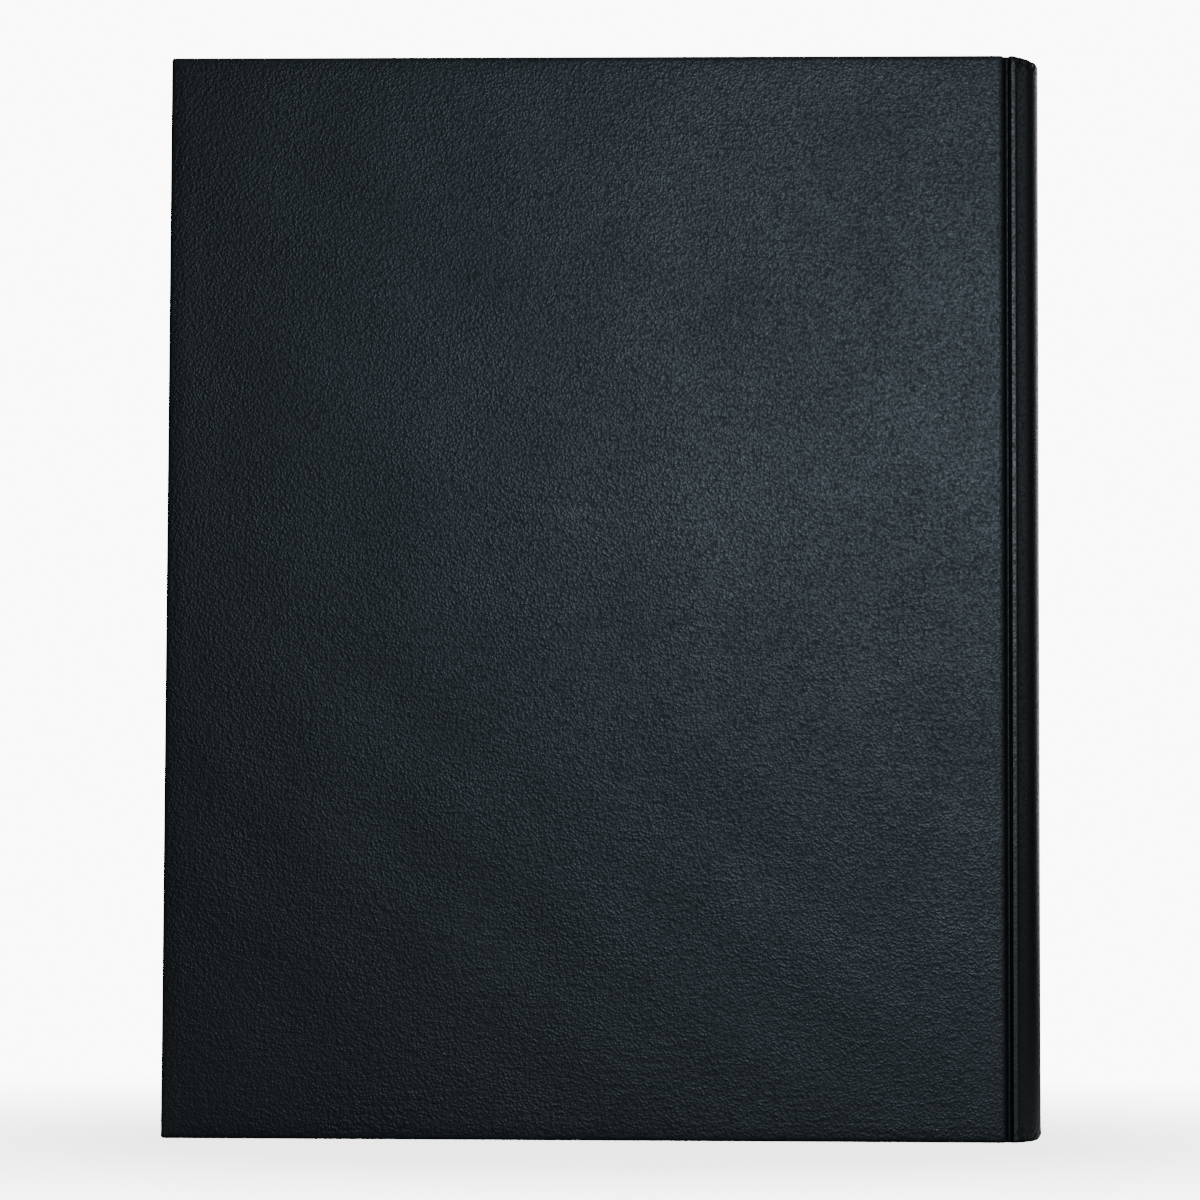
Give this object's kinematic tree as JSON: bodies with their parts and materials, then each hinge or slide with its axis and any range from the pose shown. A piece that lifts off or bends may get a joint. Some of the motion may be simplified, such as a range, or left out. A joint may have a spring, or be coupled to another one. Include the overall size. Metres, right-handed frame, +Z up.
{
  "type": "hardcover sketchbook",
  "caption": "Upright case-bound sketchbook with a black leathercloth cover, rounded spine, grooved joints and sewn leaves; both covers open and turn free leaves.",
  "frame": {"origin": "middle of the tail edges that the closed book stands on, halfway through its thickness", "axes": "+Z up from tail to head, +X from the fore edge to the spine, +Y from the back cover to the front cover"},
  "size_m": [0.23, 0.0246, 0.2852],
  "materials": {
    "covering": "fine-grained black leathercloth with a soft sheen",
    "greyboard": "matte",
    "endpaper": "matte",
    "page": "matte, slightly toothy",
    "thread": "waxed linen",
    "glue": "translucent, dry",
    "mull": "open weave",
    "lining": "matte kraft",
    "band": "woven"
  },
  "bodies": {
    "text_block": {"signature_1": "page", "signature_2": "page", "signature_3": "page", "signature_4": "page", "signature_5": "page", "signature_6": "page", "signature_7": "page", "sewing_thread": "thread", "spine_glue": "glue", "mull": "mull", "spine_lining": "lining", "head_band": "band", "tail_band": "band", "spine_inlay": "greyboard", "spine_covering": "covering", "front_joint_cloth": "covering", "back_joint_cloth": "covering"},
    "front_cover": {"front_board": "greyboard", "front_covering": "covering", "front_pastedown": "endpaper"},
    "back_cover": {"back_board": "greyboard", "back_covering": "covering", "back_pastedown": "endpaper"},
    "front_flyleaf": {"front_flyleaf": "endpaper"},
    "front_leaf_1": {"front_leaf_1": "page"},
    "front_leaf_2": {"front_leaf_2": "page"},
    "back_flyleaf": {"back_flyleaf": "endpaper"},
    "back_leaf_1": {"back_leaf_1": "page"},
    "back_leaf_2": {"back_leaf_2": "page"}
  },
  "joints": [
    {"name": "front_cover_hinge", "type": "hinge", "parent": "text_block", "child": "front_cover", "pos_m": [0.10619, 0.01214, 0], "axis": [0, 0, -1], "range_deg": [0, 180], "deforming": ["front_joint_cloth"]},
    {"name": "back_cover_hinge", "type": "hinge", "parent": "text_block", "child": "back_cover", "pos_m": [0.10619, -0.01214, 0], "axis": [0, 0, 1], "range_deg": [0, 180], "deforming": ["back_joint_cloth"]},
    {"name": "front_flyleaf_turn", "type": "hinge", "parent": "text_block", "child": "front_flyleaf", "pos_m": [0.10619, 0.01214, 0], "axis": [0, 0, -1], "range_deg": [0, 165.7]},
    {"name": "front_leaf_1_turn", "type": "hinge", "parent": "text_block", "child": "front_leaf_1", "pos_m": [0.10619, 0.01214, 0], "axis": [0, 0, -1], "range_deg": [0, 144.1]},
    {"name": "front_leaf_2_turn", "type": "hinge", "parent": "text_block", "child": "front_leaf_2", "pos_m": [0.10619, 0.01214, 0], "axis": [0, 0, -1], "range_deg": [0, 111.7]},
    {"name": "back_flyleaf_turn", "type": "hinge", "parent": "text_block", "child": "back_flyleaf", "pos_m": [0.10619, -0.01214, 0], "axis": [0, 0, 1], "range_deg": [0, 165.7]},
    {"name": "back_leaf_1_turn", "type": "hinge", "parent": "text_block", "child": "back_leaf_1", "pos_m": [0.10619, -0.01214, 0], "axis": [0, 0, 1], "range_deg": [0, 144.1]},
    {"name": "back_leaf_2_turn", "type": "hinge", "parent": "text_block", "child": "back_leaf_2", "pos_m": [0.10619, -0.01214, 0], "axis": [0, 0, 1], "range_deg": [0, 111.7]}
  ],
  "couplings": [
    {"joint": "front_flyleaf_turn", "follows": "front_cover_hinge", "ratio": 0.92},
    {"joint": "front_leaf_1_turn", "follows": "front_cover_hinge", "ratio": 0.8},
    {"joint": "front_leaf_2_turn", "follows": "front_cover_hinge", "ratio": 0.62},
    {"joint": "back_flyleaf_turn", "follows": "back_cover_hinge", "ratio": 0.92},
    {"joint": "back_leaf_1_turn", "follows": "back_cover_hinge", "ratio": 0.8},
    {"joint": "back_leaf_2_turn", "follows": "back_cover_hinge", "ratio": 0.62}
  ]
}
